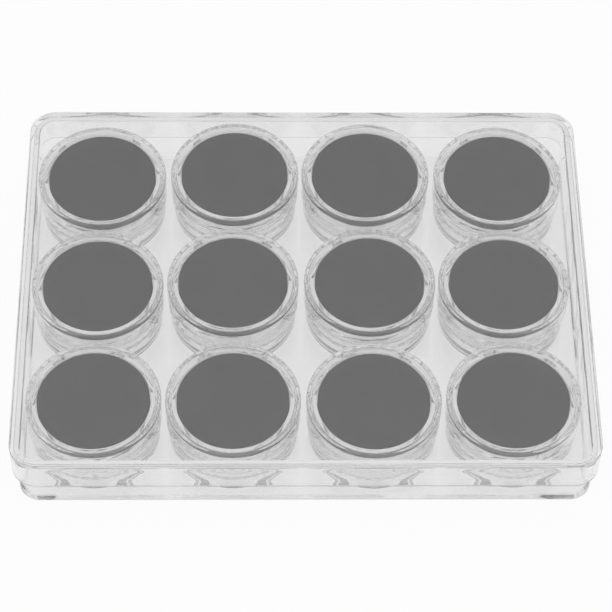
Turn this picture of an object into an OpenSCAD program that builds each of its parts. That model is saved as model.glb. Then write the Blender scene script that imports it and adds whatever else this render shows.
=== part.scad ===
// Display box of clear plastic with a lift-off lid, holding screw-cap jars that
// each show a round foam insert under a flat window.
// Millimetres, +Z up. The origin is on the table, under the middle of the box.
// The jars stand in rows along X, counted from the back left corner.

/* [Jar layout] */
// Gap between the places of neighbouring jars along X
gap_x = 1.25; // [1.1:0.05:3]
// Gap between the places of neighbouring jars along Y
gap_y = 1.8; // [1.2:0.05:3]
// Play between the outer jars' places and the tray wall at the two ends
end_play = 1.35; // [1.25:0.05:3]
// Play between the outer jars' places and the tray wall at front and back
side_play = 1.25; // [1.15:0.05:3]

/* [Jar] */
// Outer radius of the screw cap
cap_r = 19.2; // [15:0.1:30]
// Height of the screw cap, over its window and skirt
cap_h = 9.4; // [8.8:0.1:12]
// Thickness of the window in the cap
window_t = 1.4; // [0.8:0.1:2.5]
// Wall of the cap's skirt
skirt_t = 1.0; // [0.7:0.05:1.6]
// Rounding of the cap's upper edge
cap_round = 0.7; // [0.2:0.05:0.7]
// Number of small notches around the cap's lower edge
notch_count = 42; // [24:1:60]
// Width of a notch
notch_w = 1.3; // [0.6:0.1:1.8]
// Depth of a notch
notch_d = 0.6; // [0.3:0.05:1]
// Wall of the cup's threaded neck
neck_t = 1.3; // [1:0.05:1.5]
// Height of the cup's outer body below the cap
body_h = 7.4; // [5:0.1:16]
// How far the cup's body stands in from the cap's skirt
body_inset = 0.35; // [0.1:0.05:0.7]
// How much narrower the cup's body is at its foot
body_draft = 0.35; // [0:0.05:0.8]
// Rounding of the cup's foot
foot_round = 0.9; // [0.3:0.05:1.2]
// Depth of the recess under the cup
foot_recess = 0.5; // [0.2:0.05:1]
// Width of the ring that the cup stands on
foot_w = 2.1; // [1.2:0.1:4]
// Floor of the cup above that recess
cup_floor = 1.2; // [0.8:0.05:3]
// How much narrower the cup's hollow is at its floor
bore_draft = 0.3; // [0:0.05:0.8]

/* [Screw thread] */
// Rise of the thread in one turn
thread_pitch = 2.7; // [2.4:0.05:3.2]
// Turns of thread on the cup
cup_turns = 1.5; // [1:0.25:1.5]
// Turns of thread in the cap
cap_turns = 1.25; // [1:0.25:1.25]
// How far the cup's thread stands out from the neck
thread_out = 0.4; // [0.3:0.05:0.45]
// Width of a thread at its root
thread_root = 1.1; // [0.8:0.05:1.2]
// Width of a thread at its crest
thread_crest = 0.5; // [0.3:0.05:0.6]
// Clearance from a thread's crest to the wall it faces
thread_clear = 0.3; // [0.2:0.05:0.4]
// Clearance between the flanks of the two threads with the cap screwed down
flank_clear = 0.28; // [0.2:0.02:0.4]
// Height of the lower end of the cup's thread above the cup's shoulder
thread_lift = 1.9; // [1.4:0.1:2.2]

/* [Foam insert] */
// Thickness of the foam
foam_t = 3.0; // [2:0.25:6]
// Clearance between the foam and the bore of the cup's neck
foam_fit = 0.2; // [0.1:0.05:0.5]
// Clearance between the window and what lies under it
window_gap = 0.1; // [0.05:0.05:0.3]

/* [Box] */
// Wall of the tray
tray_wall = 1.2; // [0.8:0.1:2.4]
// Floor of the tray
tray_floor = 1.5; // [1:0.1:3]
// Wall of the lid
lid_wall = 1.2; // [0.8:0.1:2.4]
// Top plate of the lid
lid_plate = 1.8; // [1:0.1:3]
// Height of the lid, over its plate and skirt
lid_h = 11.1; // [8:0.1:16]
// Clearance between the lid's skirt and the tray's wall
lid_clear = 0.3; // [0.2:0.05:0.6]
// Clearance between the jars and the lid's top plate
head_room = 0.4; // [0.3:0.05:2]
// Outer corner radius of the lid, seen from above
corner_r = 7.5; // [6.5:0.5:14]
// Rounding of the box's outer edges
edge_round = 0.4; // [0.3:0.05:0.7]

/* [Hidden] */

$fn = 72;
// Jars along X and rows of jars along Y; NODES names one set of pieces for each
jars_across = 4;
jar_rows = 3;
// How far each jar has slid off its place in the box, from the back left along X
SLID = [
  [-0.9, -0.6], [-0.8, 0.9], [-1.1, 0.7], [-0.9, -0.5],
  [-0.8, -0.2], [-1.0, 1.0], [-0.7, 1.0], [-1.1, 0.4],
  [-0.5, 0.2], [-0.7, 0.2], [-0.5, 0.0], [-0.5, 0.3]
];
// How far each jar has been turned from the one before it
turn_step = 137;
// Straight steps in each small rounded edge
ROUND_STEPS = 4;
// Steps of the thread in one turn
THREAD_STEPS = 20;
// Share of a turn over which a thread runs out at its ends
RUNOUT = 0.12;
// Bite of a thread into the wall that carries it
BITE = 0.15;

// Pitch of the jars in the box
pitch_x = 2 * cap_r + gap_x;
pitch_y = 2 * cap_r + gap_y;

// Heights, from the table up
shoulder_z = tray_floor + body_h;
cap_edge_clear = 0.3;
cap_low_z = shoulder_z + cap_edge_clear;
cap_top_z = cap_low_z + cap_h;
window_z = cap_top_z - window_t;
rim_z = window_z - window_gap;
plate_z = cap_top_z + head_room;
box_h = plate_z + lid_plate;
lid_low_z = box_h - lid_h;
cup_floor_z = tray_floor + foot_recess + cup_floor;

// Radii of the jar, from the outside in
skirt_in = cap_r - skirt_t;
crest_r = skirt_in - thread_clear;
neck_r = crest_r - thread_out;
cap_crest_r = neck_r + thread_clear - 0.05;
bore_r = neck_r - neck_t;
body_r = cap_r - body_inset;
foot_r = body_r - body_draft;
foam_r = bore_r - foam_fit;

// The cup's thread starts above the shoulder, the cap's lies under it
cup_thread_z = shoulder_z + thread_lift;
thread_meet = (thread_root + thread_crest) / 2 * 0.78;
cap_thread_z = cup_thread_z - thread_meet - flank_clear;

// Plan of the box, from the tray's inside out
tray_in_w = (jars_across - 1) * pitch_x + 2 * cap_r + 2 * end_play;
tray_in_d = (jar_rows - 1) * pitch_y + 2 * cap_r + 2 * side_play;
tray_w = tray_in_w + 2 * tray_wall;
tray_d = tray_in_d + 2 * tray_wall;
lid_in_w = tray_w + 2 * lid_clear;
lid_in_d = tray_d + 2 * lid_clear;
lid_w = lid_in_w + 2 * lid_wall;
lid_d = lid_in_d + 2 * lid_wall;
lid_in_r = corner_r - lid_wall;
tray_r = lid_in_r - lid_clear;
tray_in_r = tray_r - tray_wall;

// Middle of jar k, counted from 1 at the back left
function jar_xy(k) = [
  ((k - 1) % jars_across - (jars_across - 1) / 2) * pitch_x + SLID[k - 1][0],
  ((jar_rows - 1) / 2 - floor((k - 1) / jars_across)) * pitch_y + SLID[k - 1][1]
];

// Puts what is drawn about the Z axis in the place of jar k
module place(k) {
  p = jar_xy(k);
  translate([p[0], p[1], 0]) rotate([0, 0, turn_step * k]) children();
}

// Points of a quarter round about c, from angle a to a + 90
function quarter(c, r, a) = [
  for (i = [0:ROUND_STEPS])
    c + r * [cos(a + 90 * i / ROUND_STEPS), sin(a + 90 * i / ROUND_STEPS)]
];

// A closed profile carried around a rectangle with round corners. The profile's
// x runs outwards from the middle of the corner arcs, and its y is the height.
module around(w, d, r) {
  for (q = [[1, 1, 0], [-1, 1, 90], [-1, -1, 180], [1, -1, 270]])
    translate([q[0] * (w / 2 - r), q[1] * (d / 2 - r), 0])
      rotate([0, 0, q[2]])
        rotate_extrude(angle = 90) children();
  for (s = [[w, d, 0], [d, w, 90], [w, d, 180], [d, w, 270]])
    rotate([0, 0, s[2]])
      translate([s[0] / 2 - r, s[1] / 2 - r, 0])
        rotate([90, 0, 0])
          linear_extrude(s[1] - 2 * r) children();
}

// The tray: floor, four walls and round corners in one moulding
module box_tray() {
  wall_top = plate_z;
  core = tray_r;
  color([0.88, 0.9, 0.9, 0.4]) {
    around(tray_w, tray_d, tray_r)
      polygon(concat(
        [[0, 0]],
        quarter([core - edge_round, edge_round], edge_round, -90),
        [
          [core, wall_top],
          [core - tray_wall, wall_top],
          [core - tray_wall, tray_floor],
          [0, tray_floor]
        ]
      ));
    translate([-tray_w / 2 + core, -tray_d / 2 + core, 0])
      cube([tray_w - 2 * core, tray_d - 2 * core, tray_floor]);
  }
}

// The lid: top plate and skirt in one moulding, resting on the tray's rim
module box_lid() {
  color([0.9, 0.92, 0.92, 0.4]) {
    around(lid_w, lid_d, corner_r)
      polygon(concat(
        [
          [0, plate_z],
          [corner_r - lid_wall, plate_z],
          [corner_r - lid_wall, lid_low_z],
          [corner_r, lid_low_z]
        ],
        quarter([corner_r - edge_round, box_h - edge_round], edge_round, 0),
        [[0, box_h]]
      ));
    translate([-lid_w / 2 + corner_r, -lid_d / 2 + corner_r, plate_z])
      cube([lid_w - 2 * corner_r, lid_d - 2 * corner_r, lid_plate]);
  }
}

// A right-hand screw thread. Its section stands from radius root to radius crest,
// its middle starts at height z0, and both ends run out into the wall.
module screw_thread(root, crest, z0, turns) {
  n = round(turns * THREAD_STEPS);
  inward = crest < root ? -1 : 1;
  bite = root - inward * BITE;
  slope = (thread_root - thread_crest) / 2 / abs(crest - root);
  wide = thread_root / 2 + BITE * slope;
  pts = [
    for (i = [0:n])
      let (
        a = 360 * turns * i / n,
        z = z0 + thread_pitch * turns * i / n,
        grow = min(1, turns * min(i, n - i) / n / RUNOUT),
        tip = root + (crest - root) * grow + (grow == 0 ? inward * 0.02 : 0),
        half = thread_crest / 2 + (1 - grow) * (thread_root - thread_crest) / 2
      )
        each [
          [bite * cos(a), bite * sin(a), z - wide],
          [tip * cos(a), tip * sin(a), z - half],
          [tip * cos(a), tip * sin(a), z + half],
          [bite * cos(a), bite * sin(a), z + wide]
        ]
  ];
  side = [
    for (i = [0:n - 1], j = [0:3])
      let (p = 4 * i + j, q = 4 * i + (j + 1) % 4)
        each [[p, q, q + 4], [p, q + 4, p + 4]]
  ];
  ends = [
    [3, 2, 1, 0],
    [4 * n, 4 * n + 1, 4 * n + 2, 4 * n + 3]
  ];
  faces = concat(side, ends);
  flipped = [for (f = faces) [for (j = [len(f) - 1:-1:0]) f[j]]];
  polyhedron(pts, inward > 0 ? faces : flipped);
}

// The cup of jar k: foot ring, body, shoulder and threaded neck
module jar_cup(k) {
  color([0.9, 0.92, 0.93, 0.4])
    place(k) {
      rotate_extrude()
        polygon(concat(
          [
            [0, tray_floor + foot_recess],
            [foot_r - foot_round - foot_w, tray_floor + foot_recess],
            [foot_r - foot_round - foot_w, tray_floor]
          ],
          quarter([foot_r - foot_round, tray_floor + foot_round], foot_round, -90),
          [
            [body_r, shoulder_z],
            [neck_r, shoulder_z],
            [neck_r, rim_z - 0.2],
            [neck_r - 0.2, rim_z],
            [bore_r, rim_z],
            [bore_r, rim_z - foam_t],
            [bore_r - bore_draft, cup_floor_z],
            [0, cup_floor_z]
          ]
        ));
      screw_thread(neck_r, crest_r, cup_thread_z, cup_turns);
    }
}

// The screw cap of jar k: window, rounded edge, skirt and notched lower edge
module jar_cap(k) {
  color([0.92, 0.94, 0.95, 0.4])
    place(k) {
      difference() {
        rotate_extrude()
          polygon(concat(
            [
              [0, window_z],
              [skirt_in, window_z],
              [skirt_in, cap_low_z],
              [cap_r, cap_low_z]
            ],
            quarter([cap_r - cap_round, cap_top_z - cap_round], cap_round, 0),
            [[0, cap_top_z]]
          ));
        for (i = [0:notch_count - 1])
          rotate([0, 0, (i + 0.5) * 360 / notch_count])
            translate([skirt_in - 1, -notch_w / 2, cap_low_z - 1])
              cube([skirt_t + 2, notch_w, notch_d + 1]);
      }
      screw_thread(skirt_in, cap_crest_r, cap_thread_z, cap_turns);
    }
}

// The foam insert of jar k, gripped in the neck just under the window
module foam_insert(k) {
  color([0.43, 0.43, 0.43])
    place(k)
      translate([0, 0, rim_z - foam_t])
        cylinder(h = foam_t, r = foam_r);
}

box_tray();
box_lid();
jar_cup(1);  // jar_cup_01
jar_cup(2);  // jar_cup_02
jar_cup(3);  // jar_cup_03
jar_cup(4);  // jar_cup_04
jar_cup(5);  // jar_cup_05
jar_cup(6);  // jar_cup_06
jar_cup(7);  // jar_cup_07
jar_cup(8);  // jar_cup_08
jar_cup(9);  // jar_cup_09
jar_cup(10);  // jar_cup_10
jar_cup(11);  // jar_cup_11
jar_cup(12);  // jar_cup_12
jar_cap(1);  // jar_cap_01
jar_cap(2);  // jar_cap_02
jar_cap(3);  // jar_cap_03
jar_cap(4);  // jar_cap_04
jar_cap(5);  // jar_cap_05
jar_cap(6);  // jar_cap_06
jar_cap(7);  // jar_cap_07
jar_cap(8);  // jar_cap_08
jar_cap(9);  // jar_cap_09
jar_cap(10);  // jar_cap_10
jar_cap(11);  // jar_cap_11
jar_cap(12);  // jar_cap_12
foam_insert(1);  // foam_insert_01
foam_insert(2);  // foam_insert_02
foam_insert(3);  // foam_insert_03
foam_insert(4);  // foam_insert_04
foam_insert(5);  // foam_insert_05
foam_insert(6);  // foam_insert_06
foam_insert(7);  // foam_insert_07
foam_insert(8);  // foam_insert_08
foam_insert(9);  // foam_insert_09
foam_insert(10);  // foam_insert_10
foam_insert(11);  // foam_insert_11
foam_insert(12);  // foam_insert_12
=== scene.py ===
"""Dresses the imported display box: clear mouldings, screw-cap jars and foam inserts."""

import bpy
import numpy as np
from mathutils import Matrix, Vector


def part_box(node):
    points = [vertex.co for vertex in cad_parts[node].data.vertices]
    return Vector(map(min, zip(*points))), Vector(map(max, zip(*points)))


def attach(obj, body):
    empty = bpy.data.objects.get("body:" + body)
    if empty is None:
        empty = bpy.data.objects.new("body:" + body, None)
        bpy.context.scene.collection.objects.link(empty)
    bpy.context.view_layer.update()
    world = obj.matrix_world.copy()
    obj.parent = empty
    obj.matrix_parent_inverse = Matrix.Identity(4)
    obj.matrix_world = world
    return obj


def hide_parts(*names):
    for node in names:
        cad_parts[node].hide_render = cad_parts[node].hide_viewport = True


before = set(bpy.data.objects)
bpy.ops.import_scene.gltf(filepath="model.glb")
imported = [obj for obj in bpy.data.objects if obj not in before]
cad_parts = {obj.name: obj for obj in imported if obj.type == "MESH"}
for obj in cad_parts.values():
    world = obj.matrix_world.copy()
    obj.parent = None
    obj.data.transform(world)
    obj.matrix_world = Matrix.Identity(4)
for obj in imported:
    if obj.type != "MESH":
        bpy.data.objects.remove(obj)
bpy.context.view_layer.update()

MM = 0.001
TURN = 2 * np.pi
JARS = [f"{k:02d}" for k in range(1, 13)]

# ---------------------------------------------------------------- sizes, in mm
# Heights above the table
TRAY_FLOOR = 1.5
CUP_FLOOR_Z = 3.2
SHOULDER_Z = 8.9
CAP_LOW_Z = 9.2
LID_LOW_Z = 9.7
RIM_Z = 17.1
WINDOW_Z = 17.2
CAP_TOP_Z = 18.6
PLATE_Z = 19.0
BOX_TOP_Z = 20.8
# Depths and thicknesses
FOOT_RECESS = 0.5
FOAM_T = 3.0
FOAM_CROWN = 0.03
FOAM_EDGE_DROP = 0.02
EDGE_ROUND = 0.2  # of the mould's crisp outer edges
AIR = 0.05  # film of air between two mouldings that touch
# Radii of a jar
CAP_R = 19.2
SKIRT_IN = 18.2
NECK_R = 17.5
BORE_R = 16.2
BODY_R = 18.85
FOOT_R = 18.5
FOOT_IN = 15.5
FOAM_R = 16.0
# Screw threads
PITCH = 2.7
THREAD_OUT = 0.4
CAP_THREAD_IN = 0.45
THREAD_ROOT = 1.1
THREAD_CREST = 0.5
CUP_THREAD_Z = 10.8
CAP_THREAD_Z = 9.896
CUP_TURNS = 1.5
CAP_TURNS = 1.25
RUNOUT = 0.12  # of a turn, at each end of a thread
# Notches in the cap's lower edge
NOTCHES = 42
NOTCH_W = 1.3
NOTCH_D = 0.6
NOTCH_FLANK = 0.36
NOTCH_REACH = 1.4  # height over which the wall above a notch gives way
# Plan of the box
LID_W, LID_D, LID_R, LID_WALL = 165.45, 126.7, 7.5, 1.2
TRAY_W, TRAY_D, TRAY_R, TRAY_WALL = 162.45, 123.7, 6.0, 1.2
LID_FLAT, TRAY_FLAT = 4.5, 4.0  # from the outside to where the flat end faces start
# Fineness of the surfaces
BOX_STEP, JAR_STEP, FOAM_STEP = 3.0, 2.0, 1.5
CUP_THREAD_STEP, CAP_THREAD_STEP = 0.14, 0.16
CUP_POINTS, NOTCH_POINTS, FOAM_POINTS = 144, 6, 96
CREASE_DEG = 32
NEAR = 0.01
# Each jar stands turned this much further than the one before it
TURN_STEP_DEG = 137


# ---------------------------------------------------------------- camera
def add_object(name, data):
    """A new object of the scene, at the origin."""
    piece = bpy.data.objects.new(name, data)
    bpy.context.scene.collection.objects.link(piece)
    return piece


def place_camera():
    """The camera that looks down on the box from the front, a little left of its middle. Its
    place is in metres, and right, up and back are its own axes."""
    cam = add_object("camera", bpy.data.cameras.new("camera"))
    cam.data.sensor_width = 36.0
    cam.data.lens = 143.425
    cam.data.clip_start = 0.05
    cam.data.clip_end = 20.0
    right = (0.99983846, -0.01045224, 0.01462231)
    up = (0.00014613, 0.81823019, 0.57489072)
    back = (-0.01797331, -0.57479571, 0.81809954)
    place = (-0.01230, -0.41460, 0.59780)
    cam.matrix_world = Matrix(
        [[right[i], up[i], back[i], place[i]] for i in range(3)] + [[0, 0, 0, 1]]
    )
    bpy.context.scene.camera = cam


# ---------------------------------------------------------------- mesh helpers
def soften(points, steps=5):
    """A polyline through (x, y, radius) corners, each corner rounded to its radius by an arc
    that touches both of its sides: its centre lies radius / sin(half the corner's angle) from
    the corner. The two end points stay as they are."""
    pts = np.array(points, float)
    out = [pts[0, :2]]
    for i in range(1, len(pts) - 1):
        here, r = pts[i, :2], pts[i, 2]
        if r <= 0:
            out.append(here)
            continue
        to_last, to_next = pts[i - 1, :2] - here, pts[i + 1, :2] - here
        to_last /= np.linalg.norm(to_last)
        to_next /= np.linalg.norm(to_next)
        half = np.arccos(np.clip(to_last @ to_next, -1, 1)) / 2
        middle = to_last + to_next
        centre = here + middle / np.linalg.norm(middle) * r / np.sin(half)
        start = here + to_last * r / np.tan(half) - centre
        end = here + to_next * r / np.tan(half) - centre
        sweep = np.arctan2(start[0] * end[1] - start[1] * end[0], start @ end)
        a = np.linspace(0, sweep, steps + 1)
        ca, sa = np.cos(a), np.sin(a)
        arc = np.stack([start[0] * ca - start[1] * sa, start[0] * sa + start[1] * ca], 1)
        out.extend(centre + arc)
    out.append(pts[-1, :2])
    return np.array(out)


def densify(line, longest):
    """The same polyline with no side longer than the given length."""
    out = [line[:1]]
    for a, b in zip(line[:-1], line[1:]):
        n = max(1, int(np.ceil(np.linalg.norm(b - a) / longest)))
        out.append(a + (b - a) * (np.arange(1, n + 1) / n)[:, None])
    return np.concatenate(out)


def refine(profile, radius, lowest, step):
    """A profile of (r, z) with rows a step apart on its wall at the given radius, above the
    height lowest. Also gives the slice of these rows."""
    on_wall = (np.abs(profile[:, 0] - radius) < 2 * NEAR) & (profile[:, 1] > lowest)
    found = np.flatnonzero(on_wall)
    heights = np.arange(profile[found[0], 1], profile[found[-1], 1], step)
    wall = np.stack([np.full(len(heights), radius), heights], 1)
    profile = np.concatenate([profile[: found[0]], wall, profile[found[-1] :]])
    return profile, slice(found[0], found[0] + len(heights))


def matt_below(profile, height):
    """True for the points of a profile that lie at or below a height."""
    return profile[:, 1] <= height + 1e-6


def skin(name, rings, first=None, last=None, matt=None):
    """A closed surface through rings, an array (rings, points round, 3) in mm: point j of ring i
    is joined to point j + 1 and to point j of ring i + 1. Its two ends close on the points first
    and last, or on flat faces where these are None. Faces between two rings for which matt is
    true take the piece's second material."""
    m, n = rings.shape[:2]
    verts = rings.reshape(-1, 3)
    i = np.arange(m - 1)[:, None] * n
    j = np.arange(n)[None, :]
    j2 = (j + 1) % n
    quads = np.stack([i + j, i + j2, i + n + j2, i + n + j], -1).reshape(-1, 4)
    sizes = [np.full(len(quads), 4)]
    loops = [quads.ravel()]
    low, high = np.arange(n), (m - 1) * n + np.arange(n)
    for edge, point in ((low[::-1], first), (high, last)):
        if point is None:
            sizes.append(np.array([n]))
            loops.append(edge)
        else:
            tip = len(verts)
            verts = np.vstack([verts, np.array(point, float)[None]])
            fan = np.stack([edge, np.roll(edge, -1), np.full(n, tip)], 1)
            sizes.append(np.full(n, 3))
            loops.append(fan.ravel())
    sizes, loops = np.concatenate(sizes), np.concatenate(loops)
    starts = np.concatenate([[0], np.cumsum(sizes)[:-1]])
    mesh = bpy.data.meshes.new(name)
    mesh.vertices.add(len(verts))
    mesh.vertices.foreach_set("co", (verts * MM).astype(np.float32).ravel())
    mesh.loops.add(len(loops))
    mesh.polygons.add(len(sizes))
    mesh.loops.foreach_set("vertex_index", loops.astype(np.int32))
    mesh.polygons.foreach_set("loop_start", starts.astype(np.int32))
    mesh.update(calc_edges=True)
    mesh.validate()
    if matt is not None:
        band = np.repeat(matt[:-1] & matt[1:], n)
        ends = [
            np.full(1 if point is None else n, flag)
            for point, flag in ((first, matt[0]), (last, matt[-1]))
        ]
        which = np.concatenate([band, *ends]).astype(np.int32)
        mesh.polygons.foreach_set("material_index", which)
    # Six times the volume between the origin and the quads: negative if they face inwards
    a, b, c, d = (verts[quads[:, q]] for q in range(4))
    if np.einsum("ij,ij->i", a, np.cross(b, c) + np.cross(c, d)).sum() < 0:
        mesh.flip_normals()
    mesh.shade_smooth()
    mesh.set_sharp_from_angle(angle=np.radians(CREASE_DEG))
    return add_object(name, mesh)


def rounded_rectangle(w, d, r, arc=14, side=10):
    """A rectangle with round corners, anticlockwise from its right side, as two arrays: centres
    that run along the inner rectangle, and outward normals. Its outline is at
    centre + r * normal. Each corner has arc steps, and each straight side has side steps."""
    corners = [
        np.array([sx * (w / 2 - r), sy * (d / 2 - r)])
        for sx, sy in ((1, 1), (-1, 1), (-1, -1), (1, -1))
    ]
    t = (np.arange(1, side) / side)[:, None]
    centres, normals = [], []
    for q, here in enumerate(corners):
        a = np.radians(90 * q) + np.linspace(0, np.pi / 2, arc + 1)
        normal = np.stack([np.cos(a), np.sin(a)], 1)
        centres.append(np.repeat(here[None], arc + 1, 0))
        normals.append(normal)
        centres.append(here + (corners[(q + 1) % 4] - here) * t)
        normals.append(np.repeat(normal[-1:], side - 1, 0))
    return np.concatenate(centres), np.concatenate(normals)


def carry_round(name, profile, w, d, r, matt=None):
    """A profile of (distance s from the corner arcs' centres, height z) carried round a
    rectangle with round corners: (centre + s * normal, z). Both ends close on flat faces."""
    centres, normals = rounded_rectangle(w, d, r)
    xy = centres[None] + normals[None] * profile[:, 0][:, None, None]
    z = np.repeat(profile[:, 1][:, None], len(centres), 1)
    return skin(name, np.concatenate([xy, z[..., None]], -1), matt=matt)


def turned(profile, angles):
    """A profile of (r, z) at every angle: arrays r and z of the shape (points, angles)."""
    r = np.repeat(profile[:, 0][:, None], len(angles), 1)
    z = np.repeat(profile[:, 1][:, None], len(angles), 1)
    return r, z


def to_rings(r, z, angles, place, turn=0.0):
    """Points (r cos(angle + turn), r sin(angle + turn), z) about a jar's middle, in mm."""
    x = r * np.cos(angles + turn) + place[0]
    y = r * np.sin(angles + turn) + place[1]
    return np.stack([x, y, z], -1)


def thread(z, angle, z0, turns, height):
    """Height of a right-hand screw thread over its wall at height z and angle (radians):
    height * (3 f^2 - 2 f^3) * e at t turns from its start at z0, where
    f = (root / 2 - |z - z0 - pitch * t|) / ((root - crest) / 2), and e = t / runout or
    (turns - t) / runout at the ends; f and e are cut to 0 to 1."""
    around = np.mod(angle, TURN) / TURN
    nearest = around + np.round((z - z0) / PITCH - around)
    best = np.zeros(np.broadcast(z, angle).shape)
    for shift in (-1, 0, 1):
        t = nearest + shift
        inside = (t >= 0) & (t <= turns)
        off = np.abs(z - (z0 + PITCH * t))
        flank = (THREAD_ROOT / 2 - off) / ((THREAD_ROOT - THREAD_CREST) / 2)
        flank = np.clip(flank, 0, 1)
        flank = flank * flank * (3 - 2 * flank)
        ends = np.clip(np.minimum(t, turns - t) / RUNOUT, 0, 1)
        best = np.maximum(best, np.where(inside, flank * ends, 0))
    return best * height


def jar_place(k):
    """Middle of a jar, in mm, from where the foam insert of the frame lies."""
    low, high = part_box(f"foam_insert_{k}")
    return (low[0] + high[0]) / 2 / MM, (low[1] + high[1]) / 2 / MM


# ---------------------------------------------------------------- materials
def empty_tree(owner):
    """The cleared nodes and links of a material or a world."""
    owner.use_nodes = True
    owner.node_tree.nodes.clear()
    return owner.node_tree.nodes, owner.node_tree.links


def new_material(name):
    """A material with one surface shader, and the piece's own coordinates for its patterns."""
    mat = bpy.data.materials.new(name)
    nodes, links = empty_tree(mat)
    out = nodes.new("ShaderNodeOutputMaterial")
    surface = nodes.new("ShaderNodeBsdfPrincipled")
    links.new(surface.outputs[0], out.inputs["Surface"])
    coords = nodes.new("ShaderNodeTexCoord")
    return mat, nodes, links, surface, coords.outputs["Object"]


def noise(nodes, links, coords, scale, detail, rough=0.5):
    """Noise on the piece's own coordinates, with scale features to a metre."""
    tex = nodes.new("ShaderNodeTexNoise")
    tex.inputs["Scale"].default_value = scale
    tex.inputs["Detail"].default_value = detail
    tex.inputs["Roughness"].default_value = rough
    links.new(coords, tex.inputs["Vector"])
    return tex.outputs["Fac"]


def remap(nodes, links, value, low, high, to_low, to_high):
    """A value that goes from to_low to to_high as the given one goes from low to high."""
    node = nodes.new("ShaderNodeMapRange")
    node.inputs["From Min"].default_value = low
    node.inputs["From Max"].default_value = high
    node.inputs["To Min"].default_value = to_low
    node.inputs["To Max"].default_value = to_high
    links.new(value, node.inputs["Value"])
    return node.outputs[0]


def maths(nodes, links, operation, *values):
    """The result of a sum on outputs of nodes and on plain numbers."""
    node = nodes.new("ShaderNodeMath")
    node.operation = operation
    for value, socket in zip(values, node.inputs):
        if isinstance(value, float):
            socket.default_value = value
        else:
            links.new(value, socket)
    return node.outputs[0]


def blend_shaders(nodes, links, share, one, other, out):
    """Give an output one shader, and the other one for its share."""
    mix = nodes.new("ShaderNodeMixShader")
    links.new(share, mix.inputs[0])
    links.new(one.outputs[0], mix.inputs[1])
    links.new(other.outputs[0], mix.inputs[2])
    links.new(mix.outputs[0], out.inputs["Surface"])


def roughen(nodes, links, surface, height, strength, distance):
    """Bump a surface by a pattern; its distance is in metres."""
    bump = nodes.new("ShaderNodeBump")
    bump.inputs["Strength"].default_value = strength
    bump.inputs["Distance"].default_value = distance
    links.new(height, bump.inputs["Height"])
    links.new(bump.outputs[0], surface.inputs["Normal"])


def styrene(name, grey, haziness, ripple):
    """Injection-moulded clear polystyrene: a slight grey tint, a faint flow ripple, and a haze
    that varies between two roughnesses."""
    mat, nodes, links, surface, coords = new_material(name)
    surface.inputs["Base Color"].default_value = (grey, grey, grey, 1)
    surface.inputs["Transmission Weight"].default_value = 1.0
    surface.inputs["IOR"].default_value = 1.59
    haze = noise(nodes, links, coords, 900, 2)
    links.new(remap(nodes, links, haze, 0.35, 0.75, *haziness), surface.inputs["Roughness"])
    roughen(nodes, links, surface, noise(nodes, links, coords, 60, 2), 0.25, ripple)
    return mat


def grey_foam(name):
    """Dense closed-cell foam: mid grey, fine mottling, small open pores in the cut face."""
    mat, nodes, links, surface, coords = new_material(name)
    fine = noise(nodes, links, coords, 2600, 4, 0.6)
    broad = noise(nodes, links, coords, 90, 3)
    patches = remap(nodes, links, broad, 0.3, 0.7, 0.0, 0.5)
    shade = nodes.new("ShaderNodeMix")
    shade.data_type = "RGBA"
    shade.inputs["A"].default_value = (0.150, 0.150, 0.150, 1)
    shade.inputs["B"].default_value = (0.180, 0.180, 0.180, 1)
    links.new(
        maths(nodes, links, "MULTIPLY_ADD", fine, 0.5, patches), shade.inputs["Factor"]
    )
    links.new(shade.outputs["Result"], surface.inputs["Base Color"])
    surface.inputs["Roughness"].default_value = 0.92
    surface.inputs["Specular IOR Level"].default_value = 0.15
    pores = nodes.new("ShaderNodeTexVoronoi")
    pores.inputs["Scale"].default_value = 1500
    links.new(coords, pores.inputs["Vector"])
    pits = remap(nodes, links, pores.outputs["Distance"], 0.0, 0.45, 0.0, 1.0)
    roughen(nodes, links, surface, pits, 0.5, 0.00006)
    return mat


# ---------------------------------------------------------------- pieces
def make_tray():
    """The base tray: the section of its wall and floor carried round the box."""
    inner, flat = TRAY_R - TRAY_WALL, TRAY_R - TRAY_FLAT
    section = [
        (flat, 0.0, 0),
        (TRAY_R, 0.0, EDGE_ROUND),
        (TRAY_R, PLATE_Z - AIR, 0.15),
        (inner, PLATE_Z - AIR, 0.15),
        (inner, TRAY_FLOOR, 0.7),
        (flat, TRAY_FLOOR, 0),
    ]
    profile = densify(soften(section), BOX_STEP)
    return carry_round("tray_moulding", profile, TRAY_W, TRAY_D, TRAY_R)


def make_lid():
    """The lid: the section of its plate and skirt carried round the box. Its lower rim and the
    rounding of its top edge are a little matt."""
    inner, flat = LID_R - LID_WALL, LID_R - LID_FLAT
    section = [
        (flat, PLATE_Z, 0),
        (inner, PLATE_Z, 0.4),
        (inner, LID_LOW_Z, 0.2),
        (LID_R, LID_LOW_Z, 0.2),
        (LID_R, BOX_TOP_Z, EDGE_ROUND),
        (flat, BOX_TOP_Z, 0),
    ]
    profile = densify(soften(section), BOX_STEP)
    matt = matt_below(profile, LID_LOW_Z + NEAR)
    matt |= np.hypot(profile[:, 0] - LID_R, profile[:, 1] - BOX_TOP_Z) < 1.01 * EDGE_ROUND
    return carry_round("lid_moulding", profile, LID_W, LID_D, LID_R, matt)


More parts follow.
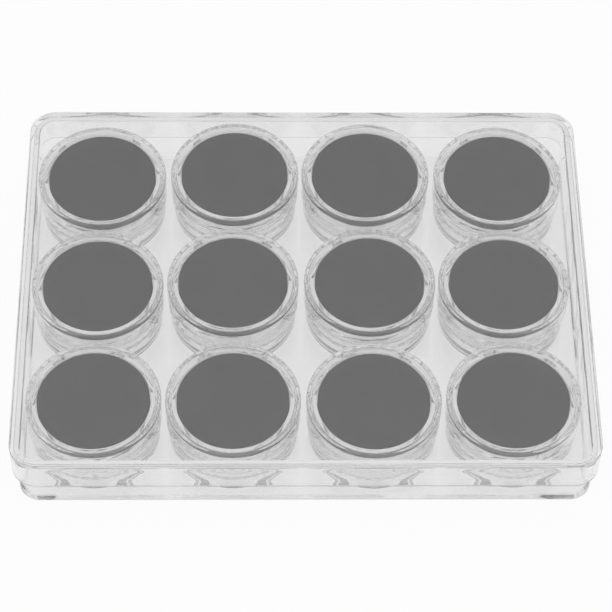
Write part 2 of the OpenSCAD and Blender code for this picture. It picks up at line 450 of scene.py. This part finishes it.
def make_cup(k, place, turn):
    """A cup turned from its section, with the thread raised on the neck: r = section + thread.
    Its foot and its underside are a little matt."""
    angles = np.arange(CUP_POINTS) * TURN / CUP_POINTS
    foot_z = TRAY_FLOOR + AIR
    section = [
        (FOOT_IN * 0.5, foot_z + FOOT_RECESS, 0),
        (FOOT_IN, foot_z + FOOT_RECESS, 0.2),
        (FOOT_IN, foot_z, 0.15),
        (FOOT_R, foot_z, 0.9),
        (BODY_R, SHOULDER_Z, 0.35),
        (NECK_R, SHOULDER_Z, 0.25),
        (NECK_R, RIM_Z, 0.25),
        (BORE_R, RIM_Z, 0.15),
        (BORE_R, RIM_Z - FOAM_T, 0),
        (BORE_R - 0.3, CUP_FLOOR_Z, 2.0),
        (BORE_R * 0.5, CUP_FLOOR_Z, 0),
    ]
    profile = densify(soften(section), JAR_STEP)
    profile, raised = refine(profile, NECK_R, SHOULDER_Z + 0.2, CUP_THREAD_STEP)
    r, z = turned(profile, angles)
    r[raised] += thread(z[raised], angles[None], CUP_THREAD_Z, CUP_TURNS, THREAD_OUT)
    return skin(
        f"jar_cup_moulding_{k}",
        to_rings(r, z, angles, place, turn),
        (*place, foot_z + FOOT_RECESS),
        (*place, CUP_FLOOR_Z),
        matt_below(profile, foot_z + FOOT_RECESS),
    )


def make_cap(k, place, turn):
    """A cap turned from its section, with a thread inside, r = section - thread, and notches
    that lift its lower edge, less the higher up: z = section + notch * (1 - height / reach).
    The lower edge is a little matt."""
    around = NOTCHES * NOTCH_POINTS
    angles = (np.arange(around) + 0.5) * TURN / around
    section = [
        (CAP_R * 0.5, CAP_TOP_Z, 0),
        (CAP_R, CAP_TOP_Z, 0.7),
        (CAP_R, CAP_LOW_Z, 0.2),
        (SKIRT_IN, CAP_LOW_Z, 0.2),
        (SKIRT_IN, WINDOW_Z, 0.3),
        (CAP_R * 0.5, WINDOW_Z, 0),
    ]
    profile = densify(soften(section), JAR_STEP)
    profile, raised = refine(profile, SKIRT_IN, CAP_LOW_Z + 0.25, CAP_THREAD_STEP)
    r, z = turned(profile, angles)
    r[raised] -= thread(z[raised], angles[None], CAP_THREAD_Z, CAP_TURNS, CAP_THREAD_IN)
    step = TURN / NOTCHES
    off = np.abs(np.mod(angles, step) - step / 2) * CAP_R
    notch = np.clip((NOTCH_W / 2 + NOTCH_FLANK / 2 - off) / NOTCH_FLANK, 0, 1) * NOTCH_D
    z = z + notch[None] * np.clip(1 - (z - CAP_LOW_Z) / NOTCH_REACH, 0, 1)
    return skin(
        f"jar_cap_moulding_{k}",
        to_rings(r, z, angles, place, turn),
        (*place, CAP_TOP_Z),
        (*place, WINDOW_Z),
        matt_below(profile, CAP_LOW_Z + NEAR),
    )


def make_foam(k, place):
    """A cut disc of foam with soft edges and a slight crown on its upper side:
    z = section + crown * (1 - (r / R)^2)."""
    angles = np.arange(FOAM_POINTS) * TURN / FOAM_POINTS
    top, low = RIM_Z, RIM_Z - FOAM_T
    section = [
        (1.0, top, 0),
        (FOAM_R, top - FOAM_EDGE_DROP, 0.25),
        (FOAM_R, low, 0.25),
        (1.0, low, 0),
    ]
    r, z = turned(densify(soften(section), FOAM_STEP), angles)
    crown = FOAM_CROWN * (1 - (r / FOAM_R) ** 2)
    z = z + np.where(z > (top + low) / 2, crown, 0.0)
    return skin(
        f"foam_pad_{k}",
        to_rings(r, z, angles, place),
        (*place, top + FOAM_CROWN),
        (*place, low),
    )


def dress(piece, body, node, slot, *materials):
    """Give a piece its materials, its body and the node it stands for. Its argument slot is not
    used.
    """
    for material in materials:
        piece.data.materials.append(material)
    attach(piece, body)
    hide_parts(node)


# ---------------------------------------------------------------- studio
def make_floor():
    """A white table: nearly plain white where it is seen directly, while the plastic shows
    more of the shadow of what stands on it."""
    half, z = 3.0, -2 * AIR * MM
    mesh = bpy.data.meshes.new("studio_floor")
    corners = [(-half, -half, z), (half, -half, z), (half, half, z), (-half, half, z)]
    mesh.from_pydata(corners, [], [(0, 1, 2, 3)])
    floor = add_object("studio_floor", mesh)
    mat = bpy.data.materials.new("white_table")
    nodes, links = empty_tree(mat)
    out = nodes.new("ShaderNodeOutputMaterial")
    matt = nodes.new("ShaderNodeBsdfDiffuse")
    matt.inputs["Color"].default_value = (0.9, 0.9, 0.9, 1)
    glow = nodes.new("ShaderNodeEmission")
    glow.inputs["Color"].default_value = (1, 1, 1, 1)
    path = nodes.new("ShaderNodeLightPath").outputs
    in_plastic = maths(
        nodes, links, "MAXIMUM", path["Is Glossy Ray"], path["Is Transmission Ray"]
    )
    seen = maths(nodes, links, "MAXIMUM", path["Is Camera Ray"], in_plastic)
    white = remap(nodes, links, path["Is Camera Ray"], 0.0, 1.0, 0.72, 0.95)
    share = maths(nodes, links, "MULTIPLY", seen, white)
    blend_shaders(nodes, links, share, matt, glow, out)
    mesh.materials.append(mat)


def make_world():
    """Soft overhead light that falls off to a dim room at the horizon; white to the camera."""
    world = bpy.data.worlds.new("studio")
    bpy.context.scene.world = world
    nodes, links = empty_tree(world)
    out = nodes.new("ShaderNodeOutputWorld")
    coords = nodes.new("ShaderNodeTexCoord")
    split = nodes.new("ShaderNodeSeparateXYZ")
    links.new(coords.outputs["Generated"], split.inputs[0])
    # The light's level by the direction's height, its way to either side and its way back
    up = remap(nodes, links, split.outputs["Z"], 0.0, 0.7, 0.3, 0.98)
    sideways = maths(nodes, links, "ABSOLUTE", split.outputs["X"])
    sides = remap(nodes, links, sideways, 0.5, 0.85, 1.0, 0.2)
    behind = remap(nodes, links, split.outputs["Y"], 0.15, 0.65, 1.0, 0.65)
    walls = maths(nodes, links, "MULTIPLY", behind, sides)
    sky = nodes.new("ShaderNodeBackground")
    links.new(maths(nodes, links, "MULTIPLY", up, walls), sky.inputs["Color"])
    white = nodes.new("ShaderNodeBackground")
    white.inputs["Color"].default_value = (1, 1, 1, 1)
    path = nodes.new("ShaderNodeLightPath")
    blend_shaders(nodes, links, path.outputs["Is Camera Ray"], sky, white, out)


# ---------------------------------------------------------------- the scene
place_camera()

box_plastic = styrene("clear_styrene_box", 0.995, (0.0, 0.04), 0.0004)
jar_plastic = styrene("clear_styrene_jar", 0.96, (0.0, 0.04), 0.0002)
matt_plastic = styrene("matt_styrene", 0.997, (0.12, 0.2), 0.0002)
foam = grey_foam("grey_foam")

box_finish = ("clear_styrene", box_plastic, matt_plastic)
jar_finish = ("clear_styrene", jar_plastic, matt_plastic)
dress(make_tray(), "tray", "box_tray", *box_finish)
dress(make_lid(), "lid", "box_lid", *box_finish)
for number, k in enumerate(JARS, 1):
    place = jar_place(k)
    turn = np.radians(TURN_STEP_DEG * number)
    dress(make_cup(k, place, turn), f"jar_{k}", f"jar_cup_{k}", *jar_finish)
    dress(make_cap(k, place, turn), f"cap_{k}", f"jar_cap_{k}", *jar_finish)
    pad = make_foam(k, place)
    dress(pad, f"jar_{k}", f"foam_insert_{k}", "grey_foam", foam)

make_floor()
make_world()

# Light crosses many faces of clear plastic before it is lost
BOUNCES = 96
scene = bpy.context.scene
scene.view_settings.view_transform = "Standard"
scene.cycles.max_bounces = BOUNCES
scene.cycles.transmission_bounces = BOUNCES
scene.cycles.glossy_bounces = BOUNCES
scene.cycles.transparent_max_bounces = 32
